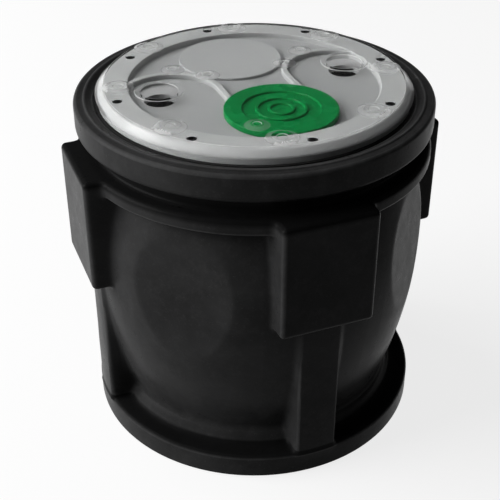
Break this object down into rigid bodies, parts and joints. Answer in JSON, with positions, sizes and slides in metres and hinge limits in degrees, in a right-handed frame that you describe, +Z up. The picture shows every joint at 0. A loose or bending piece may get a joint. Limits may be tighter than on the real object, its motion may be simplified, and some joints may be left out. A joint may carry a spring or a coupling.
{
  "type": "sewage pump basin",
  "caption": "Round black moulded basin with flat inlet pads on ribbed legs, a ringed foot and a bolted clear-topped cover with two pipe ports.",
  "frame": {"origin": "on the floor, under the middle of the round tank", "axes": "+Z up; -Y through the front inlet pad and the green disc; +X through the right pad and port"},
  "size_m": [0.654, 0.654, 0.64],
  "materials": {
    "basin_black": "satin",
    "rubber_black": "matte",
    "deck_grey": "gloss",
    "disc_green": "gloss",
    "clear_plastic": "gloss"
  },
  "bodies": {
    "root": {"access_plate": "deck_grey", "base_ring": "basin_black", "clear_cover": "clear_plastic", "cover_deck": "deck_grey", "cover_gasket": "rubber_black", "green_disc": "disc_green", "inlet_pad_back": "basin_black", "inlet_pad_front": "basin_black", "inlet_pad_left": "basin_black", "inlet_pad_right": "basin_black", "leg_back": "basin_black", "leg_front": "basin_black", "leg_left": "basin_black", "leg_right": "basin_black", "neck_ring": "basin_black", "port_seal_left": "deck_grey", "port_seal_right": "deck_grey", "rim_ring": "basin_black", "shoulder_back_left": "basin_black", "shoulder_back_right": "basin_black", "shoulder_front_left": "basin_black", "shoulder_front_right": "basin_black", "sump_floor": "basin_black", "wall_panel_back_left": "basin_black", "wall_panel_back_right": "basin_black", "wall_panel_front_left": "basin_black", "wall_panel_front_right": "basin_black"}
  },
  "joints": []
}
